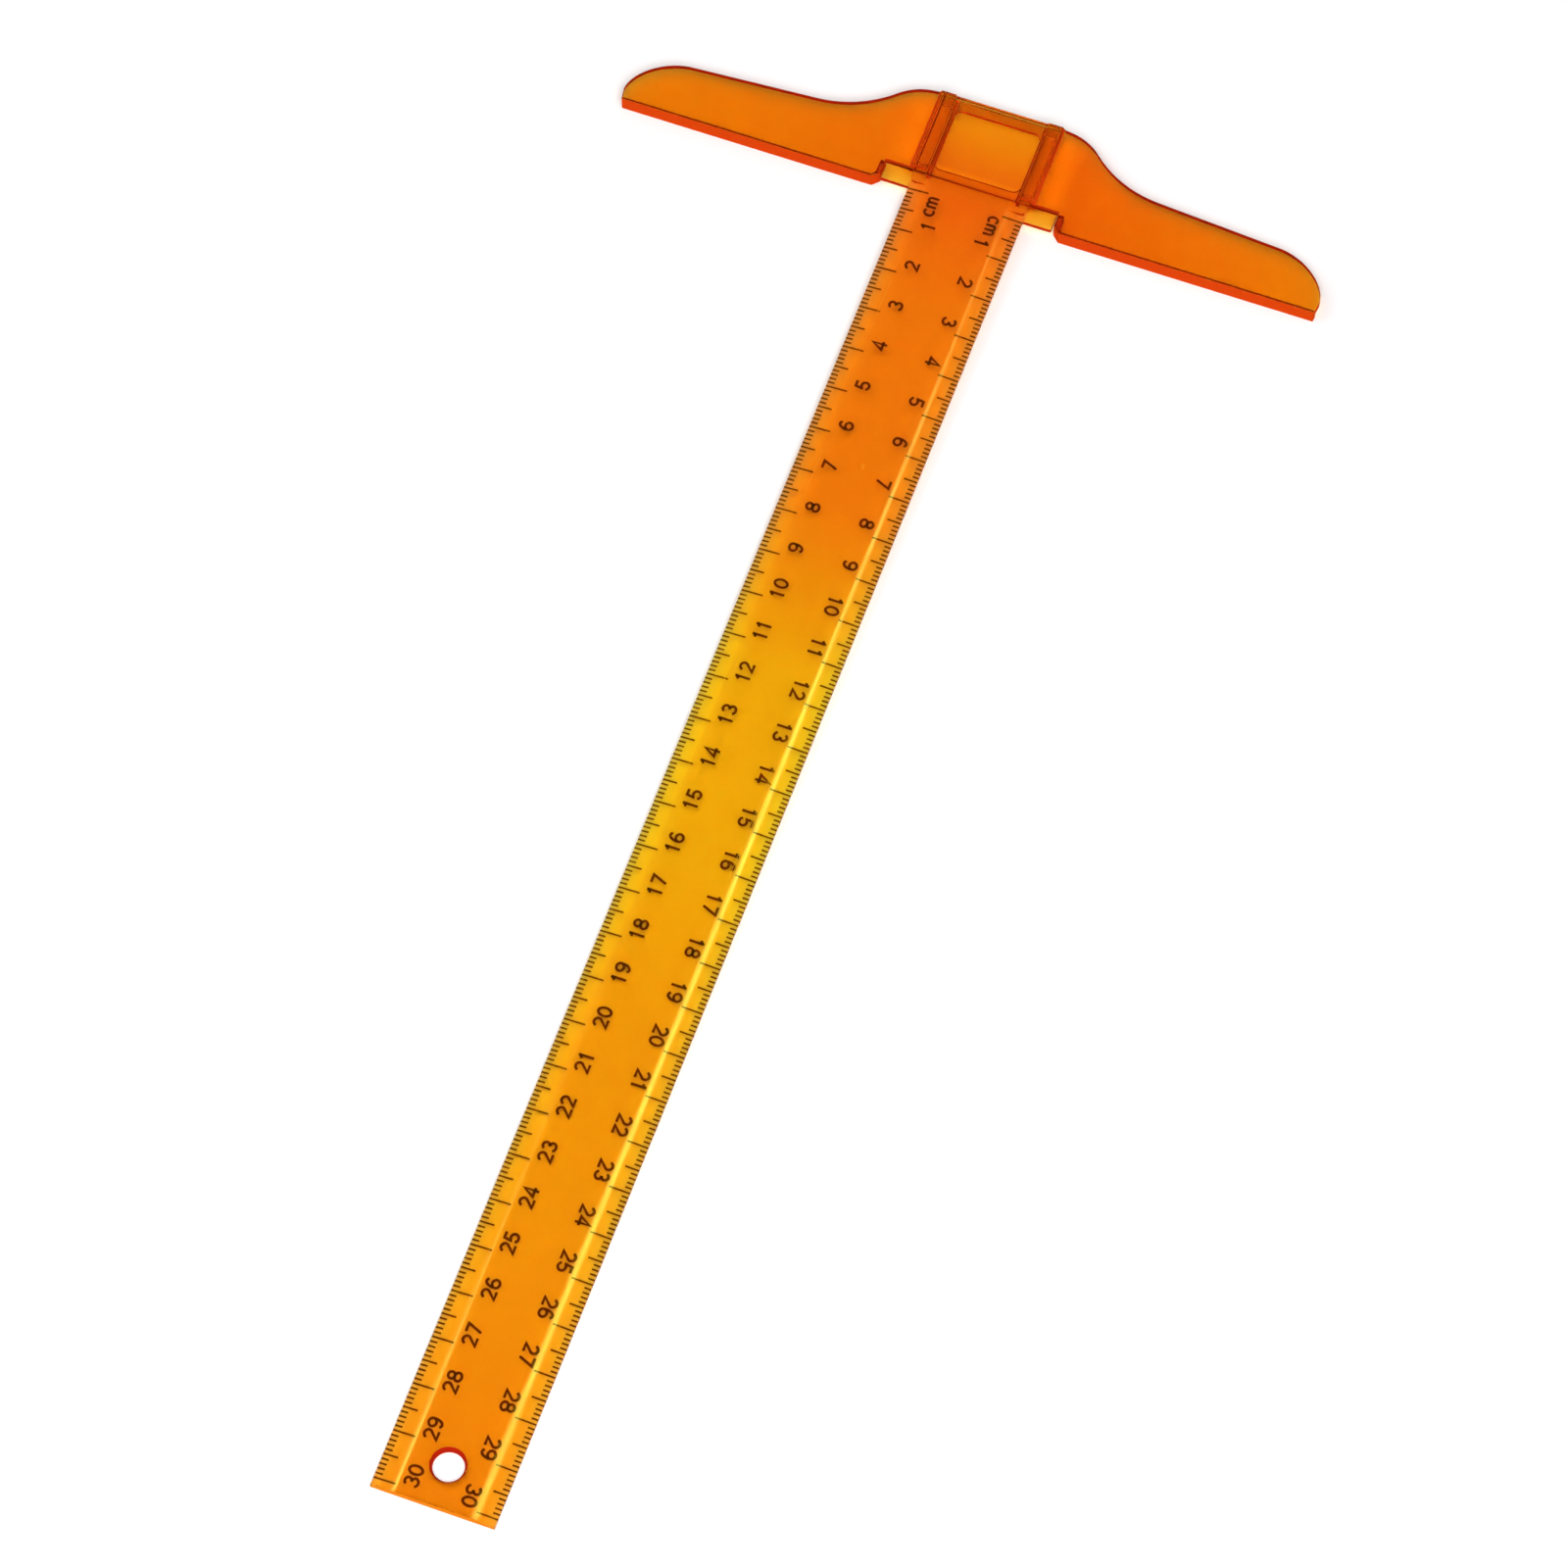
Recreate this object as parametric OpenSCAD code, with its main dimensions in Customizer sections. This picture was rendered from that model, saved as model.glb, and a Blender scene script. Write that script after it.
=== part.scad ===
// Small drafting T-square: a clear moulded blade with a 30 cm scale on each edge, and a clear moulded
// head that is pushed onto the blade's tang. +Y points from the blade towards the head, +X to the right
// as the scales are read, +Z up. The origin is where the zero line of the scales crosses the blade's
// centre line, on the underside of the blade. Millimetres.

/* [Blade] */
// Length of the graduated scale, from its zero line
scale_len = 300; // [200:50:400]
// Plain length past the last graduation
foot_margin = 2; // [1:0.5:8]
// Width of the blade
blade_w = 25; // [24:0.5:30]
// Thickness of the blade
blade_t = 1.8; // [1.6:0.1:2.2]
// Thickness left at the bevelled edges
edge_t = 0.9; // [0.6:0.1:1.2]
// Width of each bevel
bevel_w = 4.2; // [3:0.1:5]
// Diameter of the hanging hole
hole_d = 6.2; // [4:0.1:8]
// Width of the slope round the top of the hanging hole
hole_slope = 0.5; // [0.2:0.1:0.8]
// Distance from the hole's centre to the foot of the blade
hole_inset = 8.5; // [7:0.5:14]

/* [Tang and ears] */
// How far the tang reaches past the zero line into the head
tang_len = 23.8; // [21.5:0.1:26]
// Distance behind the zero line where the bevels start
bevel_start = 1.2; // [0.5:0.1:2]
// Radius of the tang's shoulder where a bevel starts
shoulder_r = 1; // [0.5:0.1:1.1]
// Half of the width across the two locating ears
ear_half = 18.6; // [17:0.1:18.7]
// Depth of the ears, from the zero line back
ear_depth = 4.2; // [3:0.1:4.3]
// Thickness of the ears
ear_t = 1.1; // [0.8:0.1:1.4]

/* [Head] */
// Half of the head's length
head_half = 76; // [70:0.5:90]
// Distance from the zero line to the rear edge of the head at its middle
head_depth = 23.5; // [22.5:0.1:26]
// Half length of the straight rear edge behind the sleeve
crown_half = 13.8; // [13.8:0.1:16]
// How far the guide face stands in front of the zero line
lip_front = 0.6; // [0:0.1:1]
// Height of the guide lip below the blade's underside
lip_drop = 2; // [1.5:0.1:4]
// Thickness of the guide lip
lip_t = 1.1; // [0.8:0.1:2]
// Thickness of the wing plates
wing_t = 2; // [1.6:0.1:2.4]
// Half width of the notch that takes the ears
notch_half = 18.95; // [18.8:0.05:20.2]
// Depth of the notch, from the zero line back
notch_depth = 4.4; // [4.4:0.1:4.8]
// Chamfer at the notch's front corners
notch_chamfer = 1.45; // [0.5:0.05:1.8]

/* [Sleeve] */
// Clearance beside the tang, on each side
side_gap = 0.1; // [0.05:0.05:0.2]
// Clearance above the tang, and the relief under it
lift_gap = 0.05; // [0.03:0.01:0.1]
// Half width of the window between the side bars
window_half = 9.4; // [8:0.1:10]
// Y of the window's front edge
window_front = 6.4; // [6:0.1:8]
// Y of the window's rear edge
window_rear = 21.3; // [19:0.1:21.5]
// Thickness of the side bars over the tang
bar_t = 0.9; // [0.6:0.1:1.2]
// Thickness of the cross bars under the tang
cross_t = 0.8; // [0.6:0.1:1.2]
// Thickness of the ribs beside the window
rib_t = 0.7; // [0.5:0.1:1]

/* [Hidden] */
$fn = 64;
plastic = [0.95, 0.45, 0.03, 0.85];
eps = 0.01;
foot_y = -(scale_len + foot_margin);
hole_y = foot_y + hole_inset;
slope_depth = blade_t / 2;
tang_half = blade_w / 2;
channel_half = tang_half + side_gap;
wall_t = 0.6;
wall_half = channel_half + wall_t;
wing_bottom = blade_t - wing_t;
bar_bottom = blade_t + lift_gap;
bar_top = bar_bottom + bar_t;
slope_w = 0.6;
window_corner_r = 1.6;
mark_x = 44.3;
mark_y = 8.3;
mark_d = 3;
mark_depth = 0.12;
// rear edge of a wing: convex shoulder, concave sweep, straight taper, rounded tip
convex_r = 12;
sweep_r = 24.4;
sweep_angle = 43.8;
sweep_steps = 10;
taper_angle = 3.9;
sweep_x = crown_half + convex_r * sin(sweep_angle);
sweep_y = head_depth - convex_r * (1 - cos(sweep_angle));
taper_x = sweep_x + sweep_r * (sin(sweep_angle) - sin(taper_angle));
taper_y = sweep_y - sweep_r * (cos(taper_angle) - cos(sweep_angle));
tip_a = 12;
tip_low = 2;
tip_inset = 0.4;
tip_x = head_half - tip_a;
tip_b = taper_y - (tip_x - taper_x) * tan(taper_angle) - tip_low;
tip_power = 2 / 1.75;

// rear edge of the right wing, from the middle of the head round to the tip's lower corner
function rear_edge() = concat(
    [[0, head_depth]],
    [for (i = [0 : sweep_steps])
        let (a = sweep_angle * i / sweep_steps)
        [crown_half + convex_r * sin(a), head_depth - convex_r * (1 - cos(a))]],
    [for (i = [1 : sweep_steps])
        let (a = sweep_angle + (taper_angle - sweep_angle) * i / sweep_steps)
        [sweep_x + sweep_r * (sin(sweep_angle) - sin(a)), sweep_y - sweep_r * (cos(a) - cos(sweep_angle))]],
    [for (a = [90 : -6 : 0])
        [tip_x + tip_a * pow(cos(a), tip_power), tip_low + tip_b * pow(sin(a), tip_power)]],
    [[head_half - tip_inset, -lip_front]]
);

// one side of the head seen from above, with its half of the notch cut away
module half_outline() {
    polygon(concat(rear_edge(), [
        [notch_half + notch_chamfer, -lip_front],
        [notch_half, notch_chamfer - lip_front],
        [notch_half, notch_depth],
        [0, notch_depth]
    ]));
}

// the stretch of that outline within lip_t of the working edge and of the notch's side
module lip_outline() {
    intersection() {
        half_outline();
        union() {
            translate([notch_half, -lip_front])
                square([head_half, lip_t]);
            polygon([
                [notch_half, -lip_front],
                [notch_half + notch_chamfer + lip_t, -lip_front],
                [notch_half + lip_t, notch_chamfer - lip_front + lip_t / 2],
                [notch_half + lip_t, notch_depth],
                [notch_half, notch_depth]
            ]);
        }
    }
}

// one wing: plate, guide lip with its return beside the notch, and the mark left by an ejector pin
module wing() {
    difference() {
        union() {
            translate([0, 0, wing_bottom])
                linear_extrude(wing_t)
                    difference() {
                        half_outline();
                        square([channel_half, head_depth + 1]);
                    }
            translate([0, 0, -lip_drop])
                linear_extrude(lip_drop + blade_t)
                    lip_outline();
        }
        translate([mark_x, mark_y, wing_bottom - 1])
            cylinder(d = mark_d, h = 1 + mark_depth);
    }
}

// side wall of the sleeve with the bar over the tang and the bar's slope down to the wing
module side_bar() {
    translate([0, head_depth, 0])
        rotate([90, 0, 0])
            linear_extrude(head_depth - notch_depth)
                polygon([
                    [window_half + rib_t, bar_bottom],
                    [channel_half, bar_bottom],
                    [channel_half, -cross_t],
                    [wall_half, -cross_t],
                    [wall_half, wing_bottom],
                    [wall_half + slope_w, blade_t - eps],
                    [wall_half, bar_top],
                    [window_half + rib_t, bar_top]
                ]);
}

// a rectangle centred on x = 0 with rounded corners
module rounded_slot(half, low, high, r) {
    translate([-half, low + r])
        square([2 * half, high - low - 2 * r]);
    translate([-half + r, low])
        square([2 * (half - r), high - low]);
    for (side = [-1, 1])
        for (y = [low + r, high - r])
            translate([side * (half - r), y])
                circle(r);
}

// the space under the right side bar, left open between the cross bars
module side_opening() {
    translate([window_half + rib_t, window_front])
        square([channel_half - window_half - rib_t, window_rear - window_front]);
}

// frame under the tang: cross bars in front of and behind the window, and ribs beside it
module lower_frame() {
    translate([0, 0, -cross_t])
        linear_extrude(cross_t)
            difference() {
                translate([-wall_half, notch_depth])
                    square([2 * wall_half, head_depth - notch_depth]);
                rounded_slot(window_half, window_front, window_rear, window_corner_r);
                side_opening();
                mirror([1, 0])
                    side_opening();
            }
    translate([0, 0, -lip_drop])
        linear_extrude(lip_drop)
            for (side = [-1, 1])
                translate([side * (window_half + rib_t / 2) - rib_t / 2, notch_depth])
                    square([rib_t, head_depth - notch_depth]);
}

// the head: two wings joined by the sleeve, moulded in one piece
module head() {
    color(plastic) {
        for (side = [0, 1])
            mirror([side, 0, 0]) {
                wing();
                side_bar();
            }
        lower_frame();
    }
}

// cross-section of the graduated blade, bevelled on top along both edges
module blade_section() {
    polygon([
        [-tang_half, 0],
        [tang_half, 0],
        [tang_half, edge_t],
        [tang_half - bevel_w, blade_t],
        [-tang_half + bevel_w, blade_t],
        [-tang_half, edge_t]
    ]);
}

// full-thickness tang seen from above, its shoulders rounded where the bevels start
module tang_outline() {
    translate([-tang_half, bevel_start + shoulder_r])
        square([blade_w, tang_len - bevel_start - shoulder_r]);
    translate([-tang_half + shoulder_r, bevel_start])
        square([blade_w - 2 * shoulder_r, tang_len - bevel_start]);
    for (side = [-1, 1])
        translate([side * (tang_half - shoulder_r), bevel_start + shoulder_r])
            circle(shoulder_r);
}

// the blade: graduated strip, tang, locating ears and hanging hole, moulded in one piece
module blade() {
    color(plastic)
        difference() {
            union() {
                translate([0, tang_len, 0])
                    rotate([90, 0, 0])
                        linear_extrude(tang_len - foot_y)
                            blade_section();
                linear_extrude(blade_t)
                    tang_outline();
                translate([-ear_half, 0, 0])
                    cube([2 * ear_half, ear_depth, ear_t]);
            }
            translate([0, hole_y, -1])
                cylinder(d = hole_d, h = blade_t + 2);
            translate([0, hole_y, blade_t - slope_depth])
                cylinder(d1 = hole_d, d2 = hole_d + 4 * hole_slope, h = 2 * slope_depth);
            translate([-blade_w, ear_depth, -1])
                cube([2 * blade_w, tang_len, 1 + lift_gap]);
        }
}

blade();
head();
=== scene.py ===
"""Looks of a small transparent drafting T-square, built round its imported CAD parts.

Metres, in the CAD frame: the origin is the zero of both scales on the blade's underside, +Y points from
the blade to the head, +Z up. The two mouldings are copies of the CAD solids with their edges rounded,
and the print is thin ink under the blade.
"""

import math

import bmesh
import bpy
from mathutils import Matrix, Quaternion, Vector


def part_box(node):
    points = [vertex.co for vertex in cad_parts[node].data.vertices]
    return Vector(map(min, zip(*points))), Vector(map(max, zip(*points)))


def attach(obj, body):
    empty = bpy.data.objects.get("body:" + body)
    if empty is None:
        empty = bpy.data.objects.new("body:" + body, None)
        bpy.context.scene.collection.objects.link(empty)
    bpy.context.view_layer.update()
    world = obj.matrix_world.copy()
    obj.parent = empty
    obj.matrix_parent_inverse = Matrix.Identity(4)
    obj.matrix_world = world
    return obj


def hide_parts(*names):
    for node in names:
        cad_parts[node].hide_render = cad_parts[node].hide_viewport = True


MM = 0.001

# Rounded edges. A face is steep where the upright part of its normal is less than STEEP.
EDGE_ROUND = 0.12 * MM
RIDGE_ROUND = 1.1 * MM
STEEP = 0.75
SHARP = math.radians(30)
FLAT = math.radians(0.3)
LONG_EDGE = 100 * MM
SHOULDER_Y = 1.7 * MM
SHOULDER_REACH = 1.0 * MM
BAR_END_REACH = 0.3 * MM
CLOSE_TO = 0.2 * MM

# Print under the blade
SCALE_CM = 30
TICK_THICK = 0.36 * MM
TICK_LENGTHS = {10: 4.4 * MM, 5: 3.0 * MM, 1: 1.45 * MM}
TICK_INSET = 0.06 * MM
PEN = 0.54 * MM
CAP_HEIGHT = 3.1 * MM
DIGIT_ADVANCE = 2.38 * MM
NUMERAL_LEAD = {1: 2.45 * MM, 2: 2.65 * MM}
NUMERAL_X = {-1: -5.5 * MM, 1: 6.1 * MM}
UNIT_HEIGHT = 3.4 * MM
UNIT_X = {-1: -6.5 * MM, 1: 6.6 * MM}
UNIT_Y = -2.9 * MM
INK_TOP = -0.01 * MM
INK_THICK = 0.012 * MM
SAME_POINT = 1e-9

# Gate mark in the top of the blade, painted as a pale spot: a painted highlight
GATE_HIGHLIGHT_AT = (1.0 * MM, -65.7 * MM)
GATE_HIGHLIGHT_RADIUS = 0.45 * MM

# The sleeve round the tang, its window, and its parts that stay clear
SLEEVE_FRONT = 4.4 * MM
WINDOW_FRONT = 6.4 * MM
WINDOW_REAR = 21.3 * MM
SLEEVE_REAR = 22.0 * MM
SLEEVE_HALF = 13.9 * MM
CROWN_HALF = 13.8 * MM
RIB_INSIDE = 9.8 * MM

# Ejector marks under the wings
EJECTOR_AT = (44.3 * MM, 8.3 * MM)
EJECTOR_REACH = 2.0 * MM
EJECTOR_FLOOR = -0.15 * MM
EJECTOR_PULL = 0.6

# Light taken off by each millimetre of plastic, in red, green and blue
BLADE_ABSORBS = (0.002, 0.2, 1.35)
HEAD_ABSORBS = (0.002, 0.345, 1.4)

# Surface colour: red away from the sleeve, and blue everywhere. The sleeve and the tang under it are
# painted lighter, with full red: painted light.
OPEN_RED = 0.87
BLUE = 0.6

# How much lighter the bevels are painted: painted light
BEVEL_PAINTED_LIGHT = (1.05, 1.09, 1.0)

# Refraction, and colours of the sheen and of the upright faces' painted glow, lighter at the foot end
PLASTIC_IOR = 1.46
SHEEN_TINT = (0.45, 0.55, 0.08)
HEAD_EDGE_GLOW = (0.64, 0.058, 0.004)
BLADE_EDGE_GLOW = (0.45, 0.018, 0.004)
FOOT_EDGE_GLOW = (0.8, 0.24, 0.01)

# Camera, at the photograph's angle
CAMERA_TARGET = (0.01027, -0.13790, 0.00035)
CAMERA_AZIMUTH = 20.06
CAMERA_ELEVATION = 63.73
CAMERA_ROLL = -0.1
CAMERA_DISTANCE = 1.25511
CAMERA_LENS = 146.12

# Reflections that light goes through inside the plastic
BOUNCES = 24

LAMP_DISTANCE = 1.6
SOFTBOX_SIZE = 1.0
FLOOR_SIZE = 14.0
FLOOR_GAP = 0.05 * MM


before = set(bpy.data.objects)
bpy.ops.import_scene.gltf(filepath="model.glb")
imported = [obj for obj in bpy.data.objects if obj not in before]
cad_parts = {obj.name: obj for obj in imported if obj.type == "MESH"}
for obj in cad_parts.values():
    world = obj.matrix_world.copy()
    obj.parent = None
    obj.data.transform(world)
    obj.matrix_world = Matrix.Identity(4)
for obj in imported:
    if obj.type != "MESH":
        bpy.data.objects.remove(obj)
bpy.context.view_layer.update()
blade_low, blade_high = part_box("blade")
head_low, head_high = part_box("head")


# ---------------------------------------------------------------- sizes read off the frame


def foot_corner(top):
    """Half width of the blade at its foot, measured at its top face or at its underside."""
    height = blade_high.z if top else blade_low.z
    return max(
        v.co.x
        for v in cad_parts["blade"].data.vertices
        if abs(v.co.z - height) < 1e-6 and abs(v.co.y - blade_low.y) < 1e-6
    )


strip_half = foot_corner(top=False)
ridge_x = foot_corner(top=True)


# ---------------------------------------------------------------- materials


def new_material(name):
    material = bpy.data.materials.new(name)
    material.use_nodes = True
    nodes = material.node_tree.nodes
    nodes.clear()
    output = nodes.new("ShaderNodeOutputMaterial")
    shader = nodes.new("ShaderNodeBsdfPrincipled")
    material.node_tree.links.new(shader.outputs["BSDF"], output.inputs["Surface"])
    return material, shader, output


def add_node(material, kind, **values):
    node = material.node_tree.nodes.new(kind)
    for key, value in values.items():
        setattr(node, key, value)
    return node


def link(material, source, target):
    material.node_tree.links.new(source, target)


def object_coordinates(material, scale=(1, 1, 1), turn=0.0):
    """Object coordinates in millimetres, stretched by scale and turned about Z."""
    coordinates = add_node(material, "ShaderNodeTexCoord")
    mapping = add_node(material, "ShaderNodeMapping")
    mapping.inputs["Rotation"].default_value = (0, 0, turn)
    mapping.inputs["Scale"].default_value = tuple(s / MM for s in scale)
    link(material, coordinates.outputs["Object"], mapping.inputs["Vector"])
    return mapping.outputs["Vector"]


def noise(material, vector, scale, detail=2.0):
    node = add_node(material, "ShaderNodeTexNoise")
    node.inputs["Scale"].default_value = scale
    node.inputs["Detail"].default_value = detail
    link(material, vector, node.inputs["Vector"])
    return node.outputs["Fac"]


def fit_range(material, source, low, high, to_low, to_high):
    node = add_node(material, "ShaderNodeMapRange")
    for key, value in zip(("From Min", "From Max", "To Min", "To Max"), (low, high, to_low, to_high)):
        node.inputs[key].default_value = value
    link(material, source, node.inputs["Value"])
    return node.outputs["Result"]


def maths(material, operation, first, second):
    node = add_node(material, "ShaderNodeMath", operation=operation)
    for socket, value in zip(node.inputs, (first, second)):
        if isinstance(value, (int, float)):
            socket.default_value = value
        else:
            link(material, value, socket)
    return node.outputs["Value"]


def scratches(material, turn, seed_scale):
    """Hair-thin lines along one direction: 0 nearly everywhere and up to 1 on a scratch."""
    vector = object_coordinates(material, scale=(seed_scale, 0.012, 0.5), turn=turn)
    return fit_range(material, noise(material, vector, 1.0, 1.0), 0.68, 0.74, 0.0, 1.0)


def mottled(material, colour, vector, amount):
    """The colour, its green and blue made slightly lighter and darker in soft patches."""
    patches = maths(material, "MULTIPLY", noise(material, vector, 0.35, 3.0), 0.6)
    grain = maths(material, "MULTIPLY", noise(material, vector, 2.6, 2.0), 0.4)
    both = maths(material, "ADD", patches, grain)
    strength = fit_range(material, both, 0.3, 0.7, 1.0 - amount, 1.0)
    tone = add_node(material, "ShaderNodeCombineColor")
    tone.inputs["Red"].default_value = 1.0
    link(material, strength, tone.inputs["Green"])
    link(material, strength, tone.inputs["Blue"])
    mix = add_node(material, "ShaderNodeMix", data_type="RGBA", blend_type="MULTIPLY")
    mix.inputs["Factor"].default_value = 1.0
    link(material, colour, mix.inputs["A"])
    link(material, tone.outputs["Color"], mix.inputs["B"])
    return mix.outputs["Result"]


def along_axis(material, axis):
    """Object coordinate along an axis, in millimetres."""
    split = add_node(material, "ShaderNodeSeparateXYZ")
    link(material, object_coordinates(material), split.inputs["Vector"])
    return split.outputs[axis]


def axis_ramp(material, axis, stops):
    """A colour that changes along an axis, from a list of (millimetres, red, green)."""
    low, high = stops[0][0], stops[-1][0]
    ramp = add_node(material, "ShaderNodeValToRGB")
    elements = ramp.color_ramp.elements
    while len(elements) < len(stops):
        elements.new(0.5)
    for element, (at, red, green) in zip(elements, stops):
        element.position = (at - low) / (high - low)
        element.color = (red, green, BLUE, 1)
    share = fit_range(material, along_axis(material, axis), low, high, 0.0, 1.0)
    link(material, share, ramp.inputs["Fac"])
    return ramp.outputs["Color"]


def blend(material, colour, other, amount):
    """The colour turned into another, plain one by the amount."""
    mix = add_node(material, "ShaderNodeMix", data_type="RGBA")
    link(material, amount, mix.inputs["Factor"])
    link(material, colour, mix.inputs["A"])
    mix.inputs["B"].default_value = (*other, 1)
    return mix.outputs["Result"]


def lighten(material, colour, gain, amount):
    """The colour multiplied by the gain where the amount is 1."""
    mix = add_node(material, "ShaderNodeMix", data_type="RGBA", blend_type="MULTIPLY")
    link(material, amount, mix.inputs["Factor"])
    link(material, colour, mix.inputs["A"])
    mix.inputs["B"].default_value = (*gain, 1)
    return mix.outputs["Result"]


def spot(material, centre, radius):
    """1 inside a small round spot seen from above, fading to 0 round it."""
    offsets = [
        maths(material, "SUBTRACT", along_axis(material, axis), at / MM)
        for axis, at in zip("XY", centre)
    ]
    squares = [maths(material, "MULTIPLY", offset, offset) for offset in offsets]
    distance = maths(material, "SQRT", maths(material, "ADD", *squares), 0.0)
    return fit_range(material, distance, 0.6 * radius / MM, 1.2 * radius / MM, 1.0, 0.0)


def held_in_sleeve(material, outward):
    """1 where the sleeve's bars cover the tang, round the window, and 0 elsewhere on the blade: where
    the blade is painted lighter, as painted light.
    """
    along = along_axis(material, "Y")
    front = fit_range(material, along, WINDOW_FRONT / MM, WINDOW_FRONT / MM + 0.8, 1.0, 0.0)
    rear = fit_range(material, along, WINDOW_REAR / MM - 0.6, WINDOW_REAR / MM, 0.0, 1.0)
    side = fit_range(material, outward, RIB_INSIDE / MM, RIB_INSIDE / MM + 0.6, 0.0, 1.0)
    round_window = maths(material, "MAXIMUM", side, maths(material, "MAXIMUM", front, rear))
    on_tang = fit_range(material, along, SLEEVE_FRONT / MM - 0.8, SLEEVE_FRONT / MM, 0.0, 1.0)
    return maths(material, "MULTIPLY", round_window, on_tang)


def worn(material):
    """Fine scratches in three directions."""
    turns = ((8, 3.1), (97, 2.3), (-38, 2.7))
    lines = [scratches(material, math.radians(turn), scale) for turn, scale in turns]
    return maths(material, "MAXIMUM", lines[0], maths(material, "MAXIMUM", lines[1], lines[2]))


def relief(material, shader, height, strength, distance):
    """Bumps of a shader's surface, from a height between 0 and 1."""
    bump = add_node(material, "ShaderNodeBump")
    bump.inputs["Strength"].default_value = strength
    bump.inputs["Distance"].default_value = distance
    link(material, height, bump.inputs["Height"])
    link(material, bump.outputs["Normal"], shader.inputs["Normal"])


def moulded_surface(material, shader, rough, rubbed=None):
    """Roughness and bumps of a clear moulding: flow waves, light haze, scratches, rubbed places."""
    wear = worn(material)
    clouds = noise(material, object_coordinates(material), 0.12, 4.0)
    haze = fit_range(material, clouds, 0.3, 0.75, *rough)
    roughness = maths(material, "ADD", haze, maths(material, "MULTIPLY", wear, 0.12))
    if rubbed is not None:
        roughness = maths(material, "ADD", roughness, maths(material, "MULTIPLY", rubbed, 0.11))
    link(material, roughness, shader.inputs["Roughness"])
    flow = noise(material, object_coordinates(material, scale=(0.25, 0.06, 0.25)), 1.0, 2.0)
    waves = maths(material, "MULTIPLY", flow, 0.5)
    height = maths(material, "SUBTRACT", waves, maths(material, "MULTIPLY", wear, 0.02))
    relief(material, shader, height, 0.35, 0.1 * MM)


def dye(material, output, absorbed):
    """Dye inside the plastic. absorbed is what each millimetre takes off, in red, green and blue."""
    most = max(absorbed)
    volume = add_node(material, "ShaderNodeVolumeAbsorption")
    volume.inputs["Color"].default_value = (*[1 - a / most for a in absorbed], 1)
    volume.inputs["Density"].default_value = most / MM
    link(material, volume.outputs["Volume"], output.inputs["Volume"])


def clear(shader):
    """Makes a shader transparent, with the plastic's refraction and sheen."""
    shader.inputs["Transmission Weight"].default_value = 1.0
    shader.inputs["IOR"].default_value = PLASTIC_IOR
    shader.inputs["Specular Tint"].default_value = (*SHEEN_TINT, 1)


def blade_plastic():
    material, shader, output = new_material("blade_plastic")
    # The blade's green changes along its length as painted light and shade: painted shade towards the
    # head and the foot, painted light in the middle.
    greens_light_and_shade = [
        (-302, 0.675),
        (-240, 0.785),
        (-200, 0.81),
        (-160, 0.91),
        (-115, 0.91),
        (-75, 0.635),
        (-25, 0.61),
        (0, 0.51),
        (9, 0.575),
        (19, 0.74),
        (24, 0.8),
    ]
    colour = axis_ramp(material, "Y", [(at, OPEN_RED, green) for at, green in greens_light_and_shade])
    outward = maths(material, "ABSOLUTE", along_axis(material, "X"), 0.0)
    # The bevels, painted lighter: painted light.
    bevel_light = fit_range(material, outward, ridge_x / MM - 0.3, ridge_x / MM + 0.6, 0.0, 1.0)
    colour = lighten(material, colour, BEVEL_PAINTED_LIGHT, bevel_light)
    # The ears beside the blade, painted lighter: painted light against the shade under the head.
    ears_painted_light = fit_range(material, outward, strip_half / MM, strip_half / MM + 0.3, 0.0, 1.0)
    colour = blend(material, colour, (1, 0.88, BLUE), ears_painted_light)
    # The tang under the sleeve's bars, painted lighter: painted light.
    colour = blend(material, colour, (1, 0.75, BLUE), held_in_sleeve(material, outward))
    # A painted highlight on the gate mark.
    colour = blend(material, colour, (1, 1, 0.9), spot(material, GATE_HIGHLIGHT_AT, GATE_HIGHLIGHT_RADIUS))
    colour = mottled(material, colour, object_coordinates(material), 0.09)
    link(material, colour, shader.inputs["Base Color"])
    from_ridge = maths(material, "ABSOLUTE", maths(material, "SUBTRACT", outward, ridge_x / MM), 0.0)
    moulded_surface(material, shader, (0.03, 0.1), fit_range(material, from_ridge, 1.0, 1.4, 1.0, 0.0))
    clear(shader)
    dye(material, output, BLADE_ABSORBS)
    return material


def head_plastic():
    material, shader, output = new_material("head_plastic")
    # Across the head: full red and a lighter green over the sleeve in the middle, painted light; the
    # green also changes across the wings.
    stops = [
        (-76, OPEN_RED, 0.97),
        (-20, OPEN_RED, 0.85),
        (-14, 1.0, 0.98),
        (14, 1.0, 0.98),
        (20, OPEN_RED, 0.74),
        (76, OPEN_RED, 0.97),
    ]
    colour = mottled(material, axis_ramp(material, "X", stops), object_coordinates(material), 0.12)
    link(material, colour, shader.inputs["Base Color"])
    moulded_surface(material, shader, (0.05, 0.13))
    clear(shader)
    dye(material, output, HEAD_ABSORBS)
    return material


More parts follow.
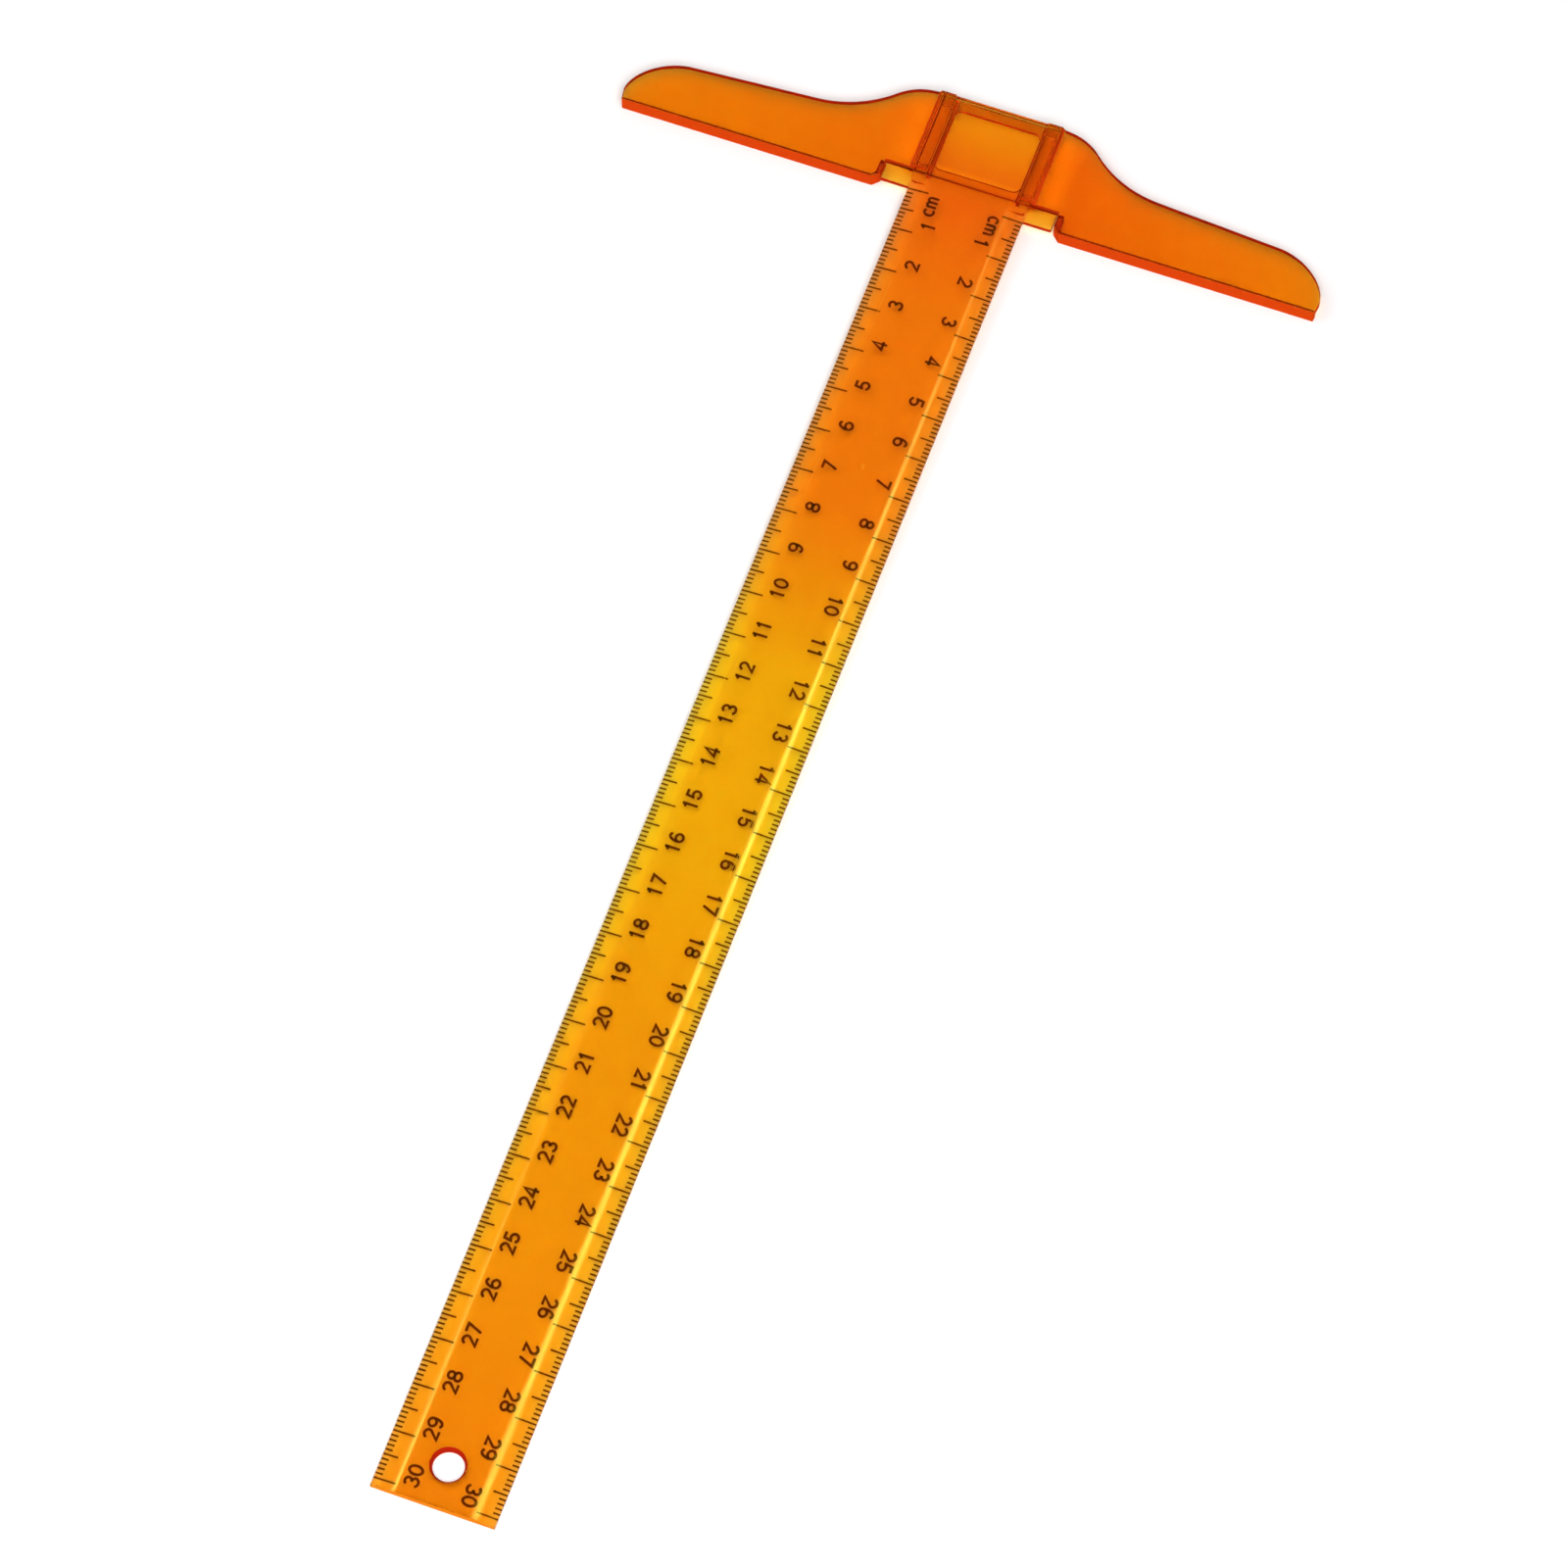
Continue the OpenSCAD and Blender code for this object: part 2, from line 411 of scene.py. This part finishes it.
def edge_plastic(name, colour, foot_colour):
    """Upright faces of the dyed plastic, which glow red from the light led inside it."""
    material, shader, _ = new_material(name)
    foot = blade_low.y / MM
    at_foot = fit_range(material, along_axis(material, "Y"), foot + 0.5, foot + 1.5, 1.0, 0.0)
    plain = add_node(material, "ShaderNodeRGB")
    plain.outputs["Color"].default_value = (*colour, 1)
    mixed = blend(material, plain.outputs["Color"], foot_colour, at_foot)
    mixed = mottled(material, mixed, object_coordinates(material), 0.15)
    link(material, mixed, shader.inputs["Base Color"])
    shader.inputs["Specular IOR Level"].default_value = 0.0
    patches = noise(material, object_coordinates(material), 1.4, 3.0)
    link(material, fit_range(material, patches, 0.3, 0.7, 0.3, 0.5), shader.inputs["Roughness"])
    streaks = noise(material, object_coordinates(material, scale=(3, 3, 0.3)), 1.0, 2.0)
    relief(material, shader, streaks, 0.3, 0.03 * MM)
    return material


def ink():
    """Maroon-black printing ink, a little thinner in places."""
    material, shader, _ = new_material("ink")
    vector = object_coordinates(material)
    patches = noise(material, vector, 1.7, 3.0)
    ramp = add_node(material, "ShaderNodeValToRGB")
    ramp.color_ramp.elements[0].position = 0.35
    ramp.color_ramp.elements[0].color = (0.07, 0.002, 0.004, 1)
    ramp.color_ramp.elements[1].position = 0.8
    ramp.color_ramp.elements[1].color = (0.13, 0.006, 0.01, 1)
    link(material, patches, ramp.inputs["Fac"])
    link(material, ramp.outputs["Color"], shader.inputs["Base Color"])
    link(material, fit_range(material, patches, 0.2, 0.8, 0.45, 0.75), shader.inputs["Roughness"])
    relief(material, shader, noise(material, vector, 9.0, 2.0), 0.3, 0.01 * MM)
    return material


def paper():
    """Matt white backdrop paper."""
    material, shader, _ = new_material("paper")
    shader.inputs["Base Color"].default_value = (0.93, 0.93, 0.93, 1)
    fibres = noise(material, object_coordinates(material), 0.5, 4.0)
    link(material, fit_range(material, fibres, 0.2, 0.8, 0.75, 0.95), shader.inputs["Roughness"])
    shader.inputs["Specular IOR Level"].default_value = 0.2
    return material


# ---------------------------------------------------------------- mouldings


def whole_faces(node):
    """A CAD node's mesh with its flat faces whole again, ready for its edges to be rounded."""
    mesh = bmesh.new()
    mesh.from_mesh(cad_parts[node].data)
    bmesh.ops.remove_doubles(mesh, verts=mesh.verts, dist=1e-6)
    bmesh.ops.dissolve_limit(mesh, angle_limit=FLAT, verts=mesh.verts, edges=mesh.edges)
    bmesh.ops.recalc_face_normals(mesh, faces=mesh.faces)
    return mesh


def round_edges(mesh, edges, width, segments):
    """Replaces edges with a round of that width on each side of them."""
    bmesh.ops.bevel(
        mesh,
        geom=edges,
        offset=width,
        offset_type="OFFSET",
        segments=segments,
        profile=0.5,
        affect="EDGES",
        clamp_overlap=False,
        loop_slide=True,
    )


def near(vertex, spots, reach):
    """True for a vertex near one of the spots, or near its mirror image on the left."""
    return any((Vector((abs(vertex.co.x), vertex.co.y)) - Vector(s)).length < reach for s in spots)


def sharp_edges(mesh, crowded, reach):
    """Edges to round: the sharp ones, away from the spots where several short ones meet."""
    return [
        e
        for e in mesh.edges
        if e.is_manifold
        and e.calc_face_angle() > SHARP
        and not any(near(v, crowded, reach) for v in e.verts)
    ]


def paint_edges(mesh, keep_clear):
    """Gives the steep faces the second material, apart from those that keep_clear leaves clear."""
    for face in mesh.faces:
        steep = abs(face.normal.z) < STEEP
        face.material_index = 1 if steep and not keep_clear(face.calc_center_median()) else 0


def finish_piece(mesh, name, materials, body):
    """Makes an object of a mesh and lets it ride on a body."""
    data = bpy.data.meshes.new(name)
    mesh.to_mesh(data)
    mesh.free()
    piece = bpy.data.objects.new(name, data)
    bpy.context.scene.collection.objects.link(piece)
    for material in materials:
        data.materials.append(material)
    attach(piece, body)
    return piece


def smooth_by_faces(piece):
    """Smooth shading that keeps the large faces flat and turns only over the rounded edges."""
    piece.data.polygons.foreach_set("use_smooth", [True] * len(piece.data.polygons))
    weighted = piece.modifiers.new("flat faces", "WEIGHTED_NORMAL")
    weighted.weight = 100
    weighted.keep_sharp = True


def blade_side(spot_on):
    """True on the long sides of the strip and on the sides and the end of the tang."""
    return abs(abs(spot_on.x) - strip_half) < CLOSE_TO or spot_on.y > SLEEVE_REAR


def inside_sleeve(spot_on):
    """True on the sleeve's rear end and between the window's ribs and the walls beside the tang."""
    rear = abs(spot_on.x) < SLEEVE_HALF and spot_on.y > SLEEVE_REAR
    return rear or RIB_INSIDE < abs(spot_on.x) < strip_half + 0.3 * MM


def soften_marks(mesh):
    """Turns the shallow recesses of the ejector pins into faint hollows with no edge."""
    for side in (-1, 1):
        centre = Vector((side * EJECTOR_AT[0], EJECTOR_AT[1]))
        for vertex in mesh.verts:
            from_centre = Vector((vertex.co.x, vertex.co.y)) - centre
            if from_centre.length < EJECTOR_REACH and vertex.co.z > EJECTOR_FLOOR:
                vertex.co.x -= EJECTOR_PULL * from_centre.x
                vertex.co.y -= EJECTOR_PULL * from_centre.y


def on_ridge(vertex):
    """True where a bevel of the blade meets its top face."""
    at_top = abs(vertex.co.z - blade_high.z) < 0.01 * MM
    return at_top and abs(abs(vertex.co.x) - ridge_x) < CLOSE_TO


def blade_moulding(materials):
    mesh = whole_faces("blade")
    shoulders = [(strip_half - 0.5 * MM, SHOULDER_Y)]
    round_edges(mesh, sharp_edges(mesh, shoulders, SHOULDER_REACH), EDGE_ROUND, 2)
    ridges = [
        e
        for e in mesh.edges
        if e.calc_length() > LONG_EDGE and all(on_ridge(v) for v in e.verts)
    ]
    round_edges(mesh, ridges, RIDGE_ROUND, 4)
    paint_edges(mesh, blade_side)
    piece = finish_piece(mesh, "blade_moulding", materials, "blade")
    smooth_by_faces(piece)
    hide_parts("blade")


def head_moulding(materials):
    mesh = whole_faces("head")
    soften_marks(mesh)
    bar_ends = [(CROWN_HALF, head_high.y)]
    round_edges(mesh, sharp_edges(mesh, bar_ends, BAR_END_REACH), EDGE_ROUND, 2)
    bmesh.ops.dissolve_degenerate(mesh, dist=0.001 * MM, edges=mesh.edges)
    paint_edges(mesh, inside_sleeve)
    piece = finish_piece(mesh, "head_moulding", materials, "head")
    smooth_by_faces(piece)
    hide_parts("head")


# ---------------------------------------------------------------- lettering


def arc(cx, cy, rx, ry, start, end, steps=14):
    """Points of an elliptical arc, angles in degrees from +X."""
    angles = [math.radians(start + (end - start) * i / steps) for i in range(steps + 1)]
    return [(cx + rx * math.cos(a), cy + ry * math.sin(a)) for a in angles]


def ring(cx, cy, rx, ry):
    """A closed ellipse: its first point comes again at the end."""
    return arc(cx, cy, rx, ry, 90, 450, 28)


# Pen strokes in a cell one cap height tall, centred on x = 0
DIGITS = [
    [ring(0, 0.5, 0.28, 0.42)],
    [[(-0.22, 0.76), (-0.10, 0.80), (-0.02, 0.90), (0, 0.99)], [(0, 1.0), (0, 0.0)]],
    [arc(0, 0.68, 0.26, 0.24, 170, -35) + [(-0.26, 0.07), (0.29, 0.07)]],
    [arc(-0.01, 0.71, 0.23, 0.21, 160, -90), arc(-0.01, 0.29, 0.27, 0.22, 90, -165)],
    [[(0.13, 0.0), (0.13, 0.98), (-0.29, 0.28), (0.33, 0.28)]],
    [[(0.25, 0.93), (-0.17, 0.93), (-0.23, 0.50)] + arc(-0.01, 0.32, 0.27, 0.25, 130, -160)],
    [ring(0, 0.31, 0.27, 0.24), arc(0.03, 0.40, 0.30, 0.53, 180, 52)],
    [[(-0.27, 0.93), (0.29, 0.93), (-0.09, 0.0)]],
    [ring(0, 0.71, 0.23, 0.21), ring(0, 0.29, 0.28, 0.22)],
    [ring(0, 0.69, 0.27, 0.24), arc(-0.03, 0.60, 0.30, 0.53, 0, -128)],
]
UNIT_MARK = [
    arc(-0.38, 0.5, 0.23, 0.29, 42, 318),
    [(0, 0.18), (0, 0.80)],
    arc(0.16, 0.58, 0.16, 0.21, 180, 0) + [(0.32, 0.18)],
    arc(0.48, 0.58, 0.16, 0.21, 180, 0) + [(0.64, 0.18)],
]


def heading(step, otherwise):
    """Direction of a step between two points, or the other one where the points are the same."""
    return step.normalized() if step.length > SAME_POINT else otherwise


def ribbon(mesh, points, half, place):
    """A flat stroke along the points. place turns a flat point and a depth into a corner of it."""
    closed = (Vector(points[0]) - Vector(points[-1])).length < SAME_POINT
    path = [Vector(p) for p in (points[:-1] if closed else points)]
    count = len(path)
    rows = []
    for i, point in enumerate(path):
        before = path[i - 1] if closed or i > 0 else point
        after = path[(i + 1) % count] if closed or i < count - 1 else point
        first = heading(point - before, (after - point).normalized())
        second = heading(after - point, first)
        along = (first + second).normalized()
        across = Vector((-along.y, along.x))
        reach = half / max(0.5, abs(across.dot(Vector((-first.y, first.x)))))
        left, right = point + across * reach, point - across * reach
        rows.append([mesh.verts.new(place(p, depth)) for depth in (0, 1) for p in (left, right)])
    for i in range(count if closed else count - 1):
        a, b = rows[i], rows[(i + 1) % count]
        sides = (
            (a[0], a[1], b[1], b[0]),
            (a[3], a[2], b[2], b[3]),
            (a[2], a[0], b[0], b[2]),
            (a[1], a[3], b[3], b[1]),
        )
        for corners in sides:
            mesh.faces.new(corners)
    if not closed:
        for end, turn in ((rows[0], 1), (rows[-1], -1)):
            mesh.faces.new([end[0], end[2], end[3], end[1]][::turn])


def write(mesh, glyphs, height, middle, side):
    """Writes glyphs under the blade. Their tops point to the blade's edge on that side."""
    for order, glyph in enumerate(glyphs):
        shift = (order - (len(glyphs) - 1) / 2) * DIGIT_ADVANCE

        def place(point, depth, shift=shift):
            run, rise = point.x * height + shift, (point.y - 0.5) * height
            return (middle[0] + side * rise, middle[1] - side * run, INK_TOP - depth * INK_THICK)

        for stroke in glyph:
            ribbon(mesh, stroke, PEN / height / 2, place)


def numerals(side, material):
    mesh = bmesh.new()
    for number in range(1, SCALE_CM + 1):
        digits = [DIGITS[int(c)] for c in str(number)]
        middle = (NUMERAL_X[side], NUMERAL_LEAD[len(digits)] - number * 10 * MM)
        write(mesh, digits, CAP_HEIGHT, middle, side)
    bmesh.ops.recalc_face_normals(mesh, faces=mesh.faces)
    finish_piece(mesh, "numerals_left" if side < 0 else "numerals_right", [material], "blade")


def unit_marks(material):
    mesh = bmesh.new()
    for side in (-1, 1):
        write(mesh, [UNIT_MARK], UNIT_HEIGHT, (UNIT_X[side], UNIT_Y), side)
    bmesh.ops.recalc_face_normals(mesh, faces=mesh.faces)
    finish_piece(mesh, "unit_marks", [material], "blade")


def graduations(side, material):
    mesh = bmesh.new()
    outer = strip_half - TICK_INSET
    for step in range(SCALE_CM * 10 + 1):
        length = TICK_LENGTHS[10 if step % 10 == 0 else 5 if step % 5 == 0 else 1]
        middle = Vector((side * (outer - length / 2), -step * MM, INK_TOP - INK_THICK / 2))
        size = Matrix.Diagonal((length, TICK_THICK, INK_THICK, 1))
        bmesh.ops.create_cube(mesh, size=1.0, matrix=Matrix.Translation(middle) @ size)
    finish_piece(mesh, "scale_left" if side < 0 else "scale_right", [material], "blade")


# ---------------------------------------------------------------- stage


def stage_floor():
    """Paper under the T-square, which lies on its guide lip and on the foot of its blade."""
    lean = math.atan2(head_low.z - blade_low.z, -blade_low.y)
    mesh = bpy.data.meshes.new("floor")
    half = FLOOR_SIZE / 2
    corners = [(-half, -half, 0), (half, -half, 0), (half, half, 0), (-half, half, 0)]
    mesh.from_pydata(corners, [], [(0, 1, 2, 3)])
    floor = bpy.data.objects.new("floor", mesh)
    floor.location = (0, 0, head_low.z - FLOOR_GAP)
    floor.rotation_euler = (lean, 0, 0)
    mesh.materials.append(paper())
    bpy.context.scene.collection.objects.link(floor)


def direction(azimuth, elevation):
    """Unit vector towards a camera or lamp at that azimuth (0 is from -Y) and elevation, in degrees."""
    a, e = math.radians(azimuth), math.radians(elevation)
    return Vector((math.sin(a) * math.cos(e), -math.cos(a) * math.cos(e), math.sin(e)))


def aim(item, target, azimuth, elevation, distance):
    """Puts a camera or lamp at that distance from the target, looking at it."""
    back = direction(azimuth, elevation)
    item.location = Vector(target) + back * distance
    item.rotation_mode = "QUATERNION"
    item.rotation_quaternion = (-back).to_track_quat("-Z", "Y")


def softbox(name, azimuth, elevation, power):
    """A large square lamp that looks at the middle of the T-square."""
    lamp = bpy.data.lights.new(name, "AREA")
    lamp.shape = "SQUARE"
    lamp.size = SOFTBOX_SIZE
    lamp.energy = power
    item = bpy.data.objects.new(name, lamp)
    aim(item, CAMERA_TARGET, azimuth, elevation, LAMP_DISTANCE)
    bpy.context.scene.collection.objects.link(item)


def strip_light(name, x, y_low, y_high, width, power):
    """A long narrow reflector along Y overhead, seen as a bright line on a ridge of the blade."""
    lamp = bpy.data.lights.new(name, "AREA")
    lamp.shape = "RECTANGLE"
    lamp.size = width
    lamp.size_y = y_high - y_low
    lamp.energy = power
    item = bpy.data.objects.new(name, lamp)
    item.location = (x, (y_low + y_high) / 2, LAMP_DISTANCE)
    item.visible_diffuse = False
    item.visible_transmission = False
    bpy.context.scene.collection.objects.link(item)


def studio():
    world = bpy.data.worlds.new("studio")
    world.use_nodes = True
    background = world.node_tree.nodes["Background"]
    background.inputs["Color"].default_value = (1, 1, 1, 1)
    background.inputs["Strength"].default_value = 0.3
    bpy.context.scene.world = world
    softbox("key", 28, 60, 25.5)
    softbox("fill", -70, 50, 5.5)
    strip_light("strip_right", 0.22, 0.1, 0.8, 0.16, 13)
    strip_light("strip_left", -0.62, -0.1, 0.33, 0.2, 11)
    bpy.context.scene.view_settings.view_transform = "Standard"
    cycles = bpy.context.scene.cycles
    cycles.max_bounces = BOUNCES
    cycles.glossy_bounces = BOUNCES
    cycles.transmission_bounces = BOUNCES


def camera():
    data = bpy.data.cameras.new("camera")
    data.lens = CAMERA_LENS
    data.clip_start = 0.01
    data.clip_end = 50
    item = bpy.data.objects.new("camera", data)
    aim(item, CAMERA_TARGET, CAMERA_AZIMUTH, CAMERA_ELEVATION, CAMERA_DISTANCE)
    item.rotation_quaternion @= Quaternion((0, 0, 1), math.radians(CAMERA_ROLL))
    bpy.context.scene.collection.objects.link(item)
    bpy.context.scene.camera = item


# ---------------------------------------------------------------- the T-square

blade_moulding([blade_plastic(), edge_plastic("blade_edge", BLADE_EDGE_GLOW, FOOT_EDGE_GLOW)])
head_moulding([head_plastic(), edge_plastic("head_edge", HEAD_EDGE_GLOW, HEAD_EDGE_GLOW)])
print_ink = ink()
for edge_side in (-1, 1):
    graduations(edge_side, print_ink)
    numerals(edge_side, print_ink)
unit_marks(print_ink)

stage_floor()
studio()
camera()

bpy.context.view_layer.update()
